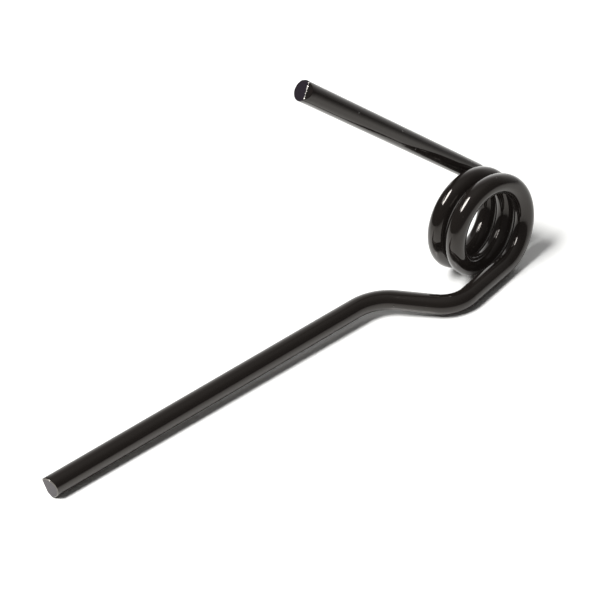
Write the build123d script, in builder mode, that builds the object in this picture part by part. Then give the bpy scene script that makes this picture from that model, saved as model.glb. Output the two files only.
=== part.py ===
from build123d import *
import math
import os

os.makedirs("parts", exist_ok=True)

# Torsion spring of one coated wire, lying as it rests. The coil's axis is +Y through the origin,
# the long leg runs out along -X on the ground and the short leg rises over it.

# wire and coil, mm and degrees
wire_diameter = 9.5
coil_inner_diameter = 32.7
coil_pitch = 11.1
coil_turns = 2.5

# long leg in plan, corner to corner: entry to the coil, sideways jog, long straight. The jog
# climbs off the ground and the straight comes down again to its tip.
entry_length = 36.1
jog_length = 38.9
jog_angle = 59.1
jog_rise = 2.5
jog_inner_radius = 15
jog_outer_radius = 22.2
long_leg_length = 174.3
long_leg_angle = 6.8

# short leg, straight on from the last turn, which stops short by the leg's angle from the ground
short_leg_length = 119.4
short_leg_angle = 42.4

# nipped ends: a ridge across the end with a bevel on one side of it or on both
cutting_allowance = 1
long_ridge_angle = 26
long_ridge_offset = 1.3
long_bevel_angle = 24
short_ridge_angle = 8.5
short_ridge_offset = -2.7
short_bevel_angle = 40
end_edge_radius = 0.35

coil_radius = (coil_inner_diameter + wire_diameter) / 2
coil_angle = 360 * coil_turns - short_leg_angle
helix_angle = math.degrees(math.atan(coil_pitch / (2 * math.pi * coil_radius)))


# the point back from start: heading in degrees from -X towards +Y, length in plan, then the rise
def back_along(start, heading, length, rise=0):
    turn = math.radians(heading)
    return start + Vector(-length * math.cos(turn), length * math.sin(turn), rise)


# the frame of a bevel: through a ridge that leans and lies off centre, tipped about that ridge
def bevel_place(end_frame, lean, offset, bevel, depth=0):
    ridge = end_frame.location * Rotation(0, 0, lean) * Pos(0, offset, -depth)
    return ridge * Rotation(bevel, 0, 0)


coil_start = Vector(0, 0, -coil_radius)
inner_corner = back_along(coil_start, -helix_angle, entry_length)
outer_corner = back_along(inner_corner, jog_angle, jog_length, jog_rise)
long_tip = back_along(outer_corner, long_leg_angle, long_leg_length, -jog_rise)
wire_start = long_tip + (long_tip - outer_corner).normalized() * cutting_allowance

with BuildPart() as spring_wire:
    with BuildLine() as long_leg:
        FilletPolyline(
            wire_start,
            outer_corner,
            inner_corner,
            coil_start,
            radius=[jog_outer_radius, jog_inner_radius],
        )

    # left-hand turns that start at the bottom of the coil and wind along +Y
    coil_frame = Plane(origin=(0, 0, 0), x_dir=(0, 0, -1), z_dir=(0, 1, 0))
    coil_length = coil_pitch * coil_angle / 360
    with BuildLine() as coil:
        turns = Helix(coil_pitch, coil_length, coil_radius, lefthand=True, mode=Mode.PRIVATE)
        add(turns.moved(coil_frame.location))

    last_turn = coil.edges()[0]
    with BuildLine() as short_leg:
        Line(last_turn @ 1, last_turn @ 1 + last_turn % 1 * short_leg_length)

    wire_path = Wire([*long_leg.edges(), *coil.edges(), *short_leg.edges()])
    with BuildSketch(Plane(origin=wire_path @ 0, z_dir=wire_path % 0)):
        Circle(wire_diameter / 2)
    sweep(path=wire_path)

    # the long end is a low roof, the short end square with one bevel
    long_end = Plane(origin=wire_path @ 0, x_dir=(0, 0, 1), z_dir=wire_path % 0 * -1)
    coil_end = last_turn @ 1
    short_end = Plane(origin=wire_path @ 1, x_dir=(coil_end.X, 0, coil_end.Z), z_dir=wire_path % 1)
    long_roof = (long_end, long_ridge_angle, long_ridge_offset)
    bevels = [
        bevel_place(*long_roof, long_bevel_angle, cutting_allowance),
        bevel_place(*long_roof, -long_bevel_angle, cutting_allowance),
        bevel_place(short_end, short_ridge_angle, short_ridge_offset, short_bevel_angle),
    ]
    with Locations(*bevels):
        Box(
            3 * wire_diameter,
            3 * wire_diameter,
            wire_diameter,
            align=(Align.CENTER, Align.CENTER, Align.MIN),
            mode=Mode.SUBTRACT,
        )
    cut_faces = spring_wire.faces().filter_by(GeomType.PLANE)
    fillet(cut_faces.edges(), radius=end_edge_radius)

spring_wire.part.label = "spring_wire"
export_step(spring_wire.part, "parts/spring_wire.step")
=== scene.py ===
import bpy
import bmesh
import math
from mathutils import Matrix, Vector


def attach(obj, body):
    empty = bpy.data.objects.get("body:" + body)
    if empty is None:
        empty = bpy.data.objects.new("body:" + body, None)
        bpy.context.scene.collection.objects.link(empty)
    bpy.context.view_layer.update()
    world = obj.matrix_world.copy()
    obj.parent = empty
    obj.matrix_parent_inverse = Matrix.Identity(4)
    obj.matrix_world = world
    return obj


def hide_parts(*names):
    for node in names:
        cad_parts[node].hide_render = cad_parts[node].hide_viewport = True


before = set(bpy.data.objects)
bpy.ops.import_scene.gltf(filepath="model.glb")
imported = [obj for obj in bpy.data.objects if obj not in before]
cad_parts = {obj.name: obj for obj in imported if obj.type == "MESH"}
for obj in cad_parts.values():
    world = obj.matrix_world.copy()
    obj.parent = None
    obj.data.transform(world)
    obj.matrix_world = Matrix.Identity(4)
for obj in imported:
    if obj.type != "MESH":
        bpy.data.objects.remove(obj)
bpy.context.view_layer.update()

mm = 0.001
weldDistance = 1e-7  # points closer than this, in metres, are one
floorHeight = -26.35  # in mm, half a millimetre under the wire
colourA, colourB, mixedColour = 6, 7, 2  # a Mix node's colour sockets, which share their names with others
bpy.context.scene.view_settings.view_transform = "Standard"


# an sRGB hex colour as the linear numbers that nodes want
def linearColour(hexColour):
    parts = [int(hexColour[i:i + 2], 16) / 255 for i in (1, 3, 5)]
    linear = [c / 12.92 if c <= 0.04045 else ((c + 0.055) / 1.055) ** 2.4 for c in parts]
    return (*linear, 1)


# adds a node: settings are its own properties, inputs take a value or the socket to link from
def addNode(tree, kind, inputs=None, **settings):
    node = tree.nodes.new(kind)
    for name, value in settings.items():
        setattr(node, name, value)
    for key, value in (inputs or {}).items():
        if isinstance(value, bpy.types.NodeSocket):
            tree.links.new(value, node.inputs[key])
        else:
            node.inputs[key].default_value = value
    return node


# a unit vector from a heading (from +X towards +Y) and a height over the horizon, in degrees
def direction(heading, height):
    turn, rise = math.radians(heading), math.radians(height)
    return Vector((math.cos(turn) * math.cos(rise), math.sin(turn) * math.cos(rise), math.sin(rise)))


def emptyMaterial(name):
    material = bpy.data.materials.new(name)
    material.use_nodes = True
    material.node_tree.nodes.clear()
    return material


# the level at a value, on straight lines between stops of (value, level), and flat beyond the end stops
def levelRamp(tree, value, stops):
    low, high = stops[0][0], stops[-1][0]
    spread = addNode(tree, "ShaderNodeMapRange", {"Value": value, "From Min": low, "From Max": high})
    ramp = addNode(tree, "ShaderNodeValToRGB", {"Fac": spread.outputs[0]})
    most = max(level for _, level in stops)
    places = ramp.color_ramp.elements
    while len(places) > 1:
        places.remove(places[-1])
    for i, (stop, level) in enumerate(stops):
        part = (stop - low) / (high - low)
        place = places[0] if i == 0 else places.new(part)
        place.position = part
        place.color = (*[level / most] * 3, 1)
    return addNode(tree, "ShaderNodeMath", {0: ramp.outputs[0], 1: most}, operation="MULTIPLY").outputs[0]


# sizes in mm
coat = {
    "colour": "#171412",
    "roughness": 0.06,
    "ior": 1.55,
    "tint": "#fff8f2",  # turns the reflections a little warm
    "paintedGlow": "#0e0c0b",  # a faint painted glow, given off by the coat itself, that lifts the deepest shade off pure black
    "cutColour": "#28232d",
    "cutRoughness": 0.2,
    # pale colour painted on the long end's rims as a highlight
    "rimHighlightColour": "#6f6b66",
    "waveSize": 3,
    "waveDepth": 0.02,
    "speckSpacing": 7,
    "speckSize": 0.4,
    "speckDepth": 0.2,
    "dashColour": "#e6e2da",
    "dashWidth": 0.3,
    "dashBreaks": 0.7,
    "dashNoise": (0.5, 0.58),  # the dashes start at the first level of the noise and are full width at the second
}


# how far a point lies from a line through a place, all in the wire's own metres
def distanceToLine(tree, point, place, way):
    arm = addNode(tree, "ShaderNodeVectorMath", {0: point, 1: place * mm}, operation="SUBTRACT")
    across = addNode(tree, "ShaderNodeVectorMath", {0: arm.outputs[0], 1: way}, operation="CROSS_PRODUCT")
    return addNode(tree, "ShaderNodeVectorMath", {0: across.outputs[0]}, operation="LENGTH").outputs["Value"]


# gloss black dipped lacquer, smooth and wet looking, with sharp slightly wavy reflections
def makeCoat(ridgePlace, ridgeWay):
    material = emptyMaterial("glossBlackLacquer")
    tree = material.node_tree
    point = addNode(tree, "ShaderNodeTexCoord").outputs["Object"]
    # sheared faces took a thinner and duller coat
    cut = addNode(tree, "ShaderNodeAttribute", attribute_name="cut").outputs["Fac"]
    colour = addNode(tree, "ShaderNodeMix", {
        "Factor": cut,
        colourA: linearColour(coat["colour"]),
        colourB: linearColour(coat["cutColour"]),
    }, data_type="RGBA")
    # painted highlight: the long end's rims take a pale colour
    rimHighlighted = addNode(tree, "ShaderNodeMix", {
        "Factor": addNode(tree, "ShaderNodeAttribute", attribute_name="rim").outputs["Fac"],
        colourA: colour.outputs[mixedColour],
        colourB: linearColour(coat["rimHighlightColour"]),
    }, data_type="RGBA")
    roughness = addNode(tree, "ShaderNodeMapRange", {
        "Value": cut,
        "To Min": coat["roughness"],
        "To Max": coat["cutRoughness"],
    })
    # the short end's ridge is coloured near white in broken dashes
    breaks = addNode(tree, "ShaderNodeTexNoise", {
        "Vector": point,
        "Scale": 1 / (coat["dashBreaks"] * mm),
        "Detail": 1,
    })
    width = addNode(tree, "ShaderNodeMapRange", {
        "Value": breaks.outputs[0],
        "From Min": coat["dashNoise"][0],
        "From Max": coat["dashNoise"][1],
        "To Max": coat["dashWidth"] * mm,
    })
    away = distanceToLine(tree, point, ridgePlace, ridgeWay)
    onDash = addNode(tree, "ShaderNodeMath", {0: width.outputs[0], 1: away}, operation="GREATER_THAN")
    dashed = addNode(tree, "ShaderNodeMix", {
        "Factor": onDash.outputs[0],
        colourA: rimHighlighted.outputs[mixedColour],
        colourB: linearColour(coat["dashColour"]),
    }, data_type="RGBA")
    # slow waves of the flowed lacquer and a few specks under it
    waves = addNode(tree, "ShaderNodeTexNoise", {
        "Vector": point,
        "Scale": 1 / (coat["waveSize"] * mm),
        "Detail": 2,
    })
    wavy = addNode(tree, "ShaderNodeBump", {"Height": waves.outputs[0], "Distance": coat["waveDepth"] * mm})
    cells = addNode(tree, "ShaderNodeTexVoronoi", {
        "Vector": point,
        "Scale": 1 / (coat["speckSpacing"] * mm),
    })
    speck = addNode(tree, "ShaderNodeMapRange", {
        "Value": cells.outputs["Distance"],
        "From Max": coat["speckSize"] / coat["speckSpacing"],
        "To Min": 1,
        "To Max": 0,
    })
    specked = addNode(tree, "ShaderNodeBump", {
        "Height": speck.outputs[0],
        "Distance": coat["speckDepth"] * mm,
        "Normal": wavy.outputs[0],
    })
    shader = addNode(tree, "ShaderNodeBsdfPrincipled", {
        "Base Color": dashed.outputs[mixedColour],
        "Roughness": roughness.outputs[0],
        "IOR": coat["ior"],
        "Specular Tint": linearColour(coat["tint"]),
        # painted glow: the coat gives off a faint light of its own, lifting the deepest shade
        "Emission Color": linearColour(coat["paintedGlow"]),
        "Emission Strength": 1,
        "Normal": specked.outputs[0],
    })
    addNode(tree, "ShaderNodeOutputMaterial", {"Surface": shader.outputs[0]})
    return material


# sizes in mm and degrees, from the coil out to the long tip and then the short leg
wire = {
    "diameter": 9.5,
    "coilRadius": 21.1,  # to the middle of the wire, as are all lengths
    "coilPitch": 11.1,
    "coilTurn": 857.6,
    "entryLength": 36.1,  # straight run out of the coil
    "innerBend": 15,
    "jogLength": 38.9,  # slanting run between the two bends, which also climbs
    "jogAngle": 59.1,
    "jogRise": 2.5,
    "outerBend": 22.2,
    "longLeg": 174.3,
    "longLegAngle": 6.8,
    "shortLeg": 119.4,
    "sides": 84,
    "turnStep": 2.5,
    "straightStep": 8,
    "spare": 4,  # length left past both tips for the cuts to take off
}


# points along a straight run, both ends left to the runs that meet it
def straightPoints(start, end, step):
    count = max(1, round((end - start).length / step))
    return [start.lerp(end, i / count) for i in range(1, count)]


# points on the bend that rounds a corner, from where the first run ends to where the next begins
def bendPoints(before, corner, after, radius, turnStep):
    inward, outward = (before - corner).normalized(), (after - corner).normalized()
    half = inward.angle(outward) / 2
    centre = corner + (inward + outward).normalized() * radius / math.sin(half)
    start = corner + inward * radius / math.tan(half) - centre
    turn = math.pi - 2 * half
    axis = start.cross(outward)
    count = math.ceil(math.degrees(turn) / turnStep)
    return [centre + Matrix.Rotation(turn * i / count, 3, axis) @ start for i in range(count + 1)]


# where the coil's middle line is after a turn from its lowest point, and the way it runs there
def turnPoint(angle):
    turn = math.radians(angle)
    radius = wire["coilRadius"]
    return Vector((radius * math.sin(turn), wire["coilPitch"] * angle / 360, -radius * math.cos(turn)))


def turnHeading(angle):
    turn = math.radians(angle)
    rise = wire["coilPitch"] / (2 * math.pi * wire["coilRadius"])
    return Vector((math.cos(turn), rise, math.sin(turn))).normalized()


# the whole centreline in mm, from the long tip to the short one, with the place of both ends
def wirePath():
    coilStart = turnPoint(0)
    innerCorner = coilStart - turnHeading(0) * wire["entryLength"]
    rise = Vector((0, 0, wire["jogRise"]))
    outerCorner = innerCorner + direction(180 - wire["jogAngle"], 0) * wire["jogLength"] + rise
    longTip = outerCorner + direction(180 - wire["longLegAngle"], 0) * wire["longLeg"] - rise
    legWay = (longTip - outerCorner).normalized()
    outer = bendPoints(longTip, outerCorner, innerCorner, wire["outerBend"], wire["turnStep"])
    inner = bendPoints(outerCorner, innerCorner, coilStart, wire["innerBend"], wire["turnStep"])
    turns = math.ceil(wire["coilTurn"] / wire["turnStep"])
    coil = [turnPoint(wire["coilTurn"] * i / turns) for i in range(turns + 1)]
    shortWay = turnHeading(wire["coilTurn"])
    shortTip = coil[-1] + shortWay * wire["shortLeg"]
    step = wire["straightStep"]
    longStart = longTip + legWay * wire["spare"]
    shortStop = shortTip + shortWay * wire["spare"]
    points = [longStart, *straightPoints(longStart, outer[0], step), *outer]
    points += [*straightPoints(outer[-1], inner[0], step), *inner]
    points += [*straightPoints(inner[-1], coil[0], step), *coil]
    points += [*straightPoints(coil[-1], shortStop, step), shortStop]
    return points, (longTip, legWay), (shortTip, shortWay)


# the node tree that sweeps a round section along a path
def sweepTree():
    tree = bpy.data.node_groups.new("roundWire", "GeometryNodeTree")
    sockets = {
        "Path": "NodeSocketGeometry",
        "Diameter": "NodeSocketFloat",
        "Sides": "NodeSocketInt",
        "Finish": "NodeSocketMaterial",
    }
    for name, kind in sockets.items():
        tree.interface.new_socket(name, in_out="INPUT", socket_type=kind)
    tree.interface.new_socket("Wire", in_out="OUTPUT", socket_type="NodeSocketGeometry")
    given = addNode(tree, "NodeGroupInput").outputs
    radius = addNode(tree, "ShaderNodeMath", {0: given["Diameter"], 1: 0.5}, operation="MULTIPLY")
    ring = addNode(tree, "GeometryNodeCurvePrimitiveCircle", {
        "Resolution": given["Sides"],
        "Radius": radius.outputs[0],
    })
    swept = addNode(tree, "GeometryNodeCurveToMesh", {
        "Curve": given["Path"],
        "Profile Curve": ring.outputs["Curve"],
        "Fill Caps": True,
    })
    smooth = addNode(tree, "GeometryNodeSetShadeSmooth", {"Geometry": swept.outputs[0]})
    real = addNode(tree, "GeometryNodeRealizeInstances", {"Geometry": smooth.outputs[0]})
    finished = addNode(tree, "GeometryNodeSetMaterial", {
        "Geometry": real.outputs[0],
        "Material": given["Finish"],
    })
    addNode(tree, "NodeGroupOutput", {0: finished.outputs[0]})
    return tree


# a plain mesh of what an object's modifiers make
def plainMesh(obj):
    graph = bpy.context.evaluated_depsgraph_get()
    return bpy.data.meshes.new_from_object(obj.evaluated_get(graph), depsgraph=graph)


# the bare wire as a mesh in metres, a little longer than the finished one
def sweptWire(points):
    curve = bpy.data.curves.new("wirePath", "CURVE")
    curve.dimensions = "3D"
    spline = curve.splines.new("POLY")
    spline.points.add(len(points) - 1)
    for place, point in zip(spline.points, points):
        place.co = (*(point * mm), 1)
    obj = bpy.data.objects.new("wirePath", curve)
    bpy.context.scene.collection.objects.link(obj)
    tree = sweepTree()
    modifier = obj.modifiers.new("sweep", "NODES")
    modifier.node_group = tree
    values = {"Diameter": wire["diameter"] * mm, "Sides": wire["sides"], "Finish": blackLacquer}
    for socket in tree.interface.items_tree:
        if socket.name in values:
            modifier[socket.identifier] = values[socket.name]
    mesh = plainMesh(obj)
    bpy.data.objects.remove(obj)
    return mesh


# both ends are cut to a ridge, which runs the way "across", leaned about the wire and set off its middle
# a bevel is (slant, dullness of its coat) and a corner (place along the ridge, slant, dullness)
# all in mm and degrees
longEnd = {
    "lean": 14,
    "offset": 1.3,
    "bevels": [(24, 1), (-24, 1)],
    "corners": [(-1.8, -12, 1), (-3.2, -26, 1), (-4, -44, 1), (3.8, 30, 1)],
    "edge": 0.45,
    "across": Vector((0, 0, 1)),
}
shortEnd = {
    "lean": 8.5,
    "offset": -2.7,
    "bevels": [(0, 0.6), (40, 0)],
    "corners": [(4.2, 30, 0)],
    "edge": 0.35,
    "across": Vector((turnPoint(wire["coilTurn"]).x, 0, turnPoint(wire["coilTurn"]).z)),
}
cutEdge = {
    "segments": 4,
    "leastTurn": 20,  # flatter edges stay as they are
    "widest": 0.765,  # how far in mm the rounding of a full weight reaches onto either face
    "rimArea": 2,  # the long end's rims, which get the painted highlight, are its faces under this many square mm
    "rimFacing": 0.1,  # whose normals turn outwards along the leg by more than this cosine
}


# where the ridge of one end lies in mm and the way it runs
def endRidge(end, tip, way):
    side = (end["across"] - way * end["across"].dot(way)).normalized()
    up = way.cross(side)
    lean = Matrix.Rotation(math.radians(end["lean"]), 3, way)
    return tip + lean @ up * end["offset"], lean @ side


# the flat cuts of one end as points, outward normals and dullness: the bevels, then the ridge's corners
def endCuts(end, tip, way):
    point, ridge = endRidge(end, tip, way)
    cuts = []
    for slant, dull in end["bevels"]:
        cuts.append((point, Matrix.Rotation(math.radians(slant), 3, ridge) @ way, dull))
    for along, slant, dull in end["corners"]:
        turned = Matrix.Rotation(math.radians(slant), 3, way.cross(ridge))
        cuts.append((point + ridge * along, turned @ way, dull))
    return cuts


# cuts one tip by a plane and closes it flat, and leaves the rest of the wire alone
def cutTip(mesh, tip, point, normal, dull):
    reach = 3 * wire["diameter"] * mm  # no slanted cut goes back this far
    faces = [f for f in mesh.faces if any((v.co - tip * mm).length < reach for v in f.verts)]
    parts = {p for f in faces for p in (f, *f.edges, *f.verts)}
    cut = bmesh.ops.bisect_plane(
        mesh,
        geom=list(parts),
        dist=weldDistance,
        plane_co=point * mm,
        plane_no=normal,
        clear_outer=True,
    )
    rim = [e for e in cut["geom_cut"] if isinstance(e, bmesh.types.BMEdge)]
    made = bmesh.ops.contextual_create(mesh, geom=rim)
    for face in made["faces"]:
        face.smooth = False
        face[mesh.faces.layers.float["cut"]] = dull


# a place here is a tip in mm and the way its leg runs there
wirePoints, longPlace, shortPlace = wirePath()
blackLacquer = makeCoat(*endRidge(shortEnd, *shortPlace))
print("coat made")


# the swept wire with both ends cut and rounded, as a plain mesh
def makeWire():
    mesh = bmesh.new()
    mesh.from_mesh(sweptWire(wirePoints))
    mesh.faces.layers.float.new("cut")
    bmesh.ops.remove_doubles(mesh, verts=mesh.verts, dist=weldDistance)
    for end, (tip, way) in ((longEnd, longPlace), (shortEnd, shortPlace)):
        for point, normal, dull in endCuts(end, tip, way):
            cutTip(mesh, tip, point, normal, dull)
    bmesh.ops.recalc_face_normals(mesh, faces=mesh.faces)
    halfway = (longPlace[0].x + shortPlace[0].x) / 2
    # a round of one radius reaches further from a sharper edge, by the tangent of half the turn
    weights = mesh.edges.layers.float.new("bevel_weight_edge")
    for edge in mesh.edges:
        turn = edge.calc_face_angle(0)
        if turn > math.radians(cutEdge["leastTurn"]):
            end = longEnd if edge.verts[0].co.x < halfway * mm else shortEnd
            edge[weights] = end["edge"] * math.tan(turn / 2) / cutEdge["widest"]
    data = bpy.data.meshes.new("coated_wire")
    mesh.to_mesh(data)
    mesh.free()
    obj = bpy.data.objects.new("coated_wire", data)
    bpy.context.scene.collection.objects.link(obj)
    rounding = obj.modifiers.new("rounding", "BEVEL")
    rounding.limit_method = "WEIGHT"
    rounding.width = cutEdge["widest"] * mm
    rounding.segments = cutEdge["segments"]
    rounding.use_clamp_overlap = False
    rounded = plainMesh(obj)
    obj.modifiers.clear()
    obj.data = rounded
    rounded.name = "coated_wire"
    # painted highlight: the long end's rounded rims that turn outwards along the leg are coloured pale
    rimHighlights = rounded.attributes.new("rim", "FLOAT", "FACE")
    tip, way = longPlace
    for face, rim in zip(rounded.polygons, rimHighlights.data):
        atTip = face.center.x < (tip.x + wire["diameter"]) * mm
        small = face.area < cutEdge["rimArea"] * mm * mm
        rim.value = float(atTip and small and face.normal.dot(way) > cutEdge["rimFacing"])
    return obj


coatedWire = makeWire()
coatedWire.data.materials.clear()
coatedWire.data.materials.append(blackLacquer)
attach(coatedWire, "root")
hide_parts("spring_wire")
print("wire made:", len(coatedWire.data.polygons), "faces")


floorSheet = {
    "half": 5,  # half its width, in metres
    "colour": "#f3f3f1",
    "roughness": 0.15,
    "ior": 1.5,
    "seen": 1.28,  # how many times brighter the card looks than it lights, which burns it out to white
    # a painted pool of light, seen only in the coat's reflections: how many times brighter the card looks
    # there, by how far behind the coil's first turn it is, in mm
    "reflectedLightPool": [(-900, 0.13), (-500, 0.27), (-350, 0.42), (-220, 0.7), (-150, 1),
                 (-100, 1.12), (-50, 1.03), (0, 1.2), (30, 1.45), (70, 1.65)],
}


# gloss white card, which gives the soft edged shadows and the grey band along the wire's underside
def makeFloor():
    material = emptyMaterial("glossWhiteCard")
    tree = material.node_tree
    rays = addNode(tree, "ShaderNodeLightPath").outputs
    inCoat = addNode(tree, "ShaderNodeMath", {
        0: rays["Is Glossy Ray"],
        1: rays["Is Transmission Ray"],
    }, operation="ADD")
    point = addNode(tree, "ShaderNodeTexCoord").outputs["Object"]
    place = addNode(tree, "ShaderNodeSeparateXYZ", {0: point})
    # painted pool of light: to glossy and transmission rays the card is brighter behind the coil and darker
    # towards the front
    behind = addNode(tree, "ShaderNodeMath", {0: place.outputs["Y"], 1: 1 / mm}, operation="MULTIPLY")
    reflectedLightPool = levelRamp(tree, behind.outputs[0], floorSheet["reflectedLightPool"])
    seen = addNode(tree, "ShaderNodeMapRange", {
        "Value": rays["Is Camera Ray"],
        "To Min": 1,
        "To Max": floorSheet["seen"],
    })
    lift = addNode(tree, "ShaderNodeMapRange", {
        "Value": inCoat.outputs[0],
        "To Min": seen.outputs[0],
        "To Max": reflectedLightPool,
    })
    colour = addNode(tree, "ShaderNodeVectorMath", {
        0: linearColour(floorSheet["colour"])[:3],
        "Scale": lift.outputs[0],
    }, operation="SCALE")
    shader = addNode(tree, "ShaderNodeBsdfPrincipled", {
        "Base Color": colour.outputs[0],
        "Roughness": floorSheet["roughness"],
        "IOR": floorSheet["ior"],
    })
    addNode(tree, "ShaderNodeOutputMaterial", {"Surface": shader.outputs[0]})
    half, height = floorSheet["half"], floorHeight * mm
    corners = [(-half, -half, height), (half, -half, height), (half, half, height), (-half, half, height)]
    data = bpy.data.meshes.new("floor")
    data.from_pydata(corners, [], [(0, 1, 2, 3)])
    data.materials.append(material)
    floor = bpy.data.objects.new("floor", data)
    bpy.context.scene.collection.objects.link(floor)


makeFloor()
print("floor made")


# a bright strip light beside a dim softbox, both oval, with places in degrees and sizes in metres
lamps = {
    "strip": {
        "heading": 167.5,
        "height": 59,
        "roll": 20,
        "size": (1.05, 1.75),
        "radiance": 21.5,
    },
    "softbox": {
        "heading": 148,
        "height": 58,
        "roll": 0,
        "size": (1.5, 1.7),
        "radiance": 3.5,
    },
}
lampDistance = 3  # in metres


def makeLamp(name, lamp):
    data = bpy.data.lights.new(name, "AREA")
    data.shape = "ELLIPSE"
    data.size, data.size_y = lamp["size"]
    area = math.pi / 4 * data.size * data.size_y
    data.energy = lamp["radiance"] * math.pi * area  # the power that gives an even lamp this radiance
    light = bpy.data.objects.new(name, data)
    bpy.context.scene.collection.objects.link(light)
    towards = direction(lamp["heading"], lamp["height"])
    roll = Matrix.Rotation(math.radians(lamp["roll"]), 3, "Z")
    light.location = towards * lampDistance
    light.rotation_euler = (towards.to_track_quat("Z", "Y").to_matrix() @ roll).to_euler()


# stops of (degrees, level)
room = {
    "base": [(-90, 0.05), (0, 0.05), (30, 0.06), (45, 0.1), (60, 0.18), (90, 0.28)],  # by height
    "backdrop": [(-48, 0), (-30, 0.2), (-15, 0.45), (0, 0.78), (15, 1.15), (30, 1.75), (45, 1.75),
                 (60, 1.4), (74, 1.15), (78, 0.1), (95, 0)],  # by heading
    "fade": [(-10, 1), (20, 1), (35, 0.5), (45, 0.3), (58, 0.12), (68, 0)],  # of the backdrop, by height
    "onMatt": 0.62,  # the share of all this that reaches matt surfaces
}


# a dim studio with a bright white backdrop behind the wire, as a level for each direction
def makeRoom():
    world = bpy.data.worlds.new("studio")
    bpy.context.scene.world = world
    world.use_nodes = True
    tree = world.node_tree
    tree.nodes.clear()
    way = addNode(tree, "ShaderNodeTexCoord").outputs["Generated"]
    axes = addNode(tree, "ShaderNodeSeparateXYZ", {0: way}).outputs
    rise = addNode(tree, "ShaderNodeMath", {0: axes["Z"]}, operation="ARCSINE").outputs[0]
    height = addNode(tree, "ShaderNodeMath", {0: rise}, operation="DEGREES").outputs[0]
    turn = addNode(tree, "ShaderNodeMath", {0: axes["Y"], 1: axes["X"]}, operation="ARCTAN2").outputs[0]
    heading = addNode(tree, "ShaderNodeMath", {0: turn}, operation="DEGREES").outputs[0]
    base = levelRamp(tree, height, room["base"])
    backdrop = levelRamp(tree, heading, room["backdrop"])
    fade = levelRamp(tree, height, room["fade"])
    level = addNode(tree, "ShaderNodeMath", {0: backdrop, 1: fade, 2: base}, operation="MULTIPLY_ADD")
    matt = addNode(tree, "ShaderNodeMapRange", {
        "Value": addNode(tree, "ShaderNodeLightPath").outputs["Is Diffuse Ray"],
        "To Min": 1,
        "To Max": room["onMatt"],
    })
    level = addNode(tree, "ShaderNodeMath", {0: level.outputs[0], 1: matt.outputs[0]}, operation="MULTIPLY")
    light = addNode(tree, "ShaderNodeBackground", {"Color": (1, 1, 1, 1), "Strength": level.outputs[0]})
    addNode(tree, "ShaderNodeOutputWorld", {"Surface": light.outputs[0]})


for name, lamp in lamps.items():
    makeLamp(name, lamp)
makeRoom()
print("lights made")


# its place in mm and its turns in degrees
camera = {
    "place": (-379.682, -341.113, 336.241),
    "heading": 52.874,
    "tilt": 35.338,  # down from level
    "roll": -10.267,
    "lens": 78,
    "sensor": 36,
}


def makeCamera():
    data = bpy.data.cameras.new("camera")
    data.lens = camera["lens"]
    data.sensor_width = camera["sensor"]
    obj = bpy.data.objects.new("camera", data)
    bpy.context.scene.collection.objects.link(obj)
    turned = Matrix.Rotation(math.radians(camera["heading"] - 90), 4, "Z")
    tilted = Matrix.Rotation(math.radians(90 - camera["tilt"]), 4, "X")
    rolled = Matrix.Rotation(math.radians(camera["roll"]), 4, "Z")
    obj.matrix_world = Matrix.Translation(Vector(camera["place"]) * mm) @ turned @ tilted @ rolled
    bpy.context.scene.camera = obj


makeCamera()
print("camera set")
